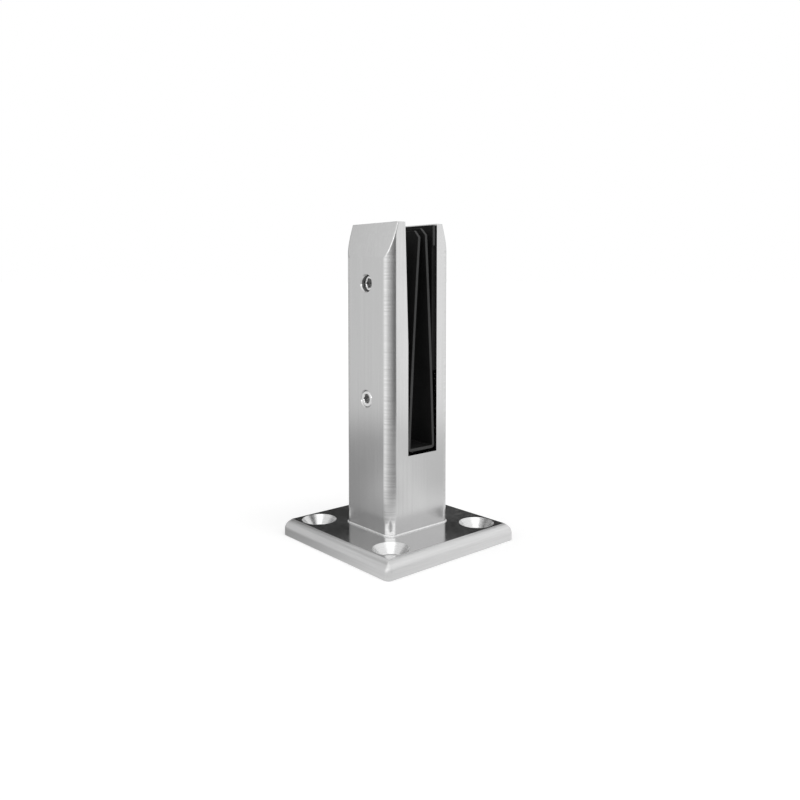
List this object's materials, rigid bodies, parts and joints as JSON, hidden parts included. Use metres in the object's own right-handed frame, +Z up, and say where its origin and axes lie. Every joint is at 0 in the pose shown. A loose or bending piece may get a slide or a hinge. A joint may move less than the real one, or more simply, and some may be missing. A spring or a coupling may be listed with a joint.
{
  "type": "glass railing spigot",
  "caption": "Square slotted steel post on a bolted base plate; set screws press a plate on a rubber-lined slot to clamp the foot of a glass railing panel.",
  "frame": {"origin": "middle of the base plate's underside", "axes": "+X along the glass panel, +Y across it away from the set screws, +Z up"},
  "size_m": [0.1, 0.1, 0.19],
  "materials": {
    "base_steel": "stainless steel, brushed sides and a polished top",
    "post_steel": "stainless steel, satin brushed along the post",
    "weld_steel": "ground and polished weld",
    "screw_steel": "plain stainless steel",
    "plate_steel": "plain rolled stainless sheet",
    "black_rubber": "matt black sheet rubber"
  },
  "bodies": {
    "spigot": {"base_plate": "base_steel", "post_body": "post_steel", "weld_bead": "weld_steel", "back_liner": "black_rubber", "liner_tape": "black_rubber", "setting_block": "black_rubber", "glass_channel": "black_rubber"},
    "pressure_plate": {"pressure_plate": "plate_steel"},
    "set_screw_upper": {"set_screw_upper": "screw_steel"},
    "set_screw_lower": {"set_screw_lower": "screw_steel"}
  },
  "joints": [
    {"name": "clamp_slide", "type": "slide", "parent": "spigot", "child": "pressure_plate", "axis": [0, 1, 0], "range_m": [0, 0.003]},
    {"name": "upper_screw_turn", "type": "hinge", "parent": "pressure_plate", "child": "set_screw_upper", "pos_m": [0, -0.016, 0.155], "axis": [0, 1, 0], "range_deg": [0, 720]},
    {"name": "lower_screw_turn", "type": "hinge", "parent": "pressure_plate", "child": "set_screw_lower", "pos_m": [0, -0.019, 0.0875], "axis": [0, 1, 0], "range_deg": [0, 720]}
  ],
  "couplings": [
    {"joint": "upper_screw_turn", "follows": "clamp_slide", "rad_per_m": 4188.8},
    {"joint": "lower_screw_turn", "follows": "clamp_slide", "rad_per_m": 4188.8}
  ]
}
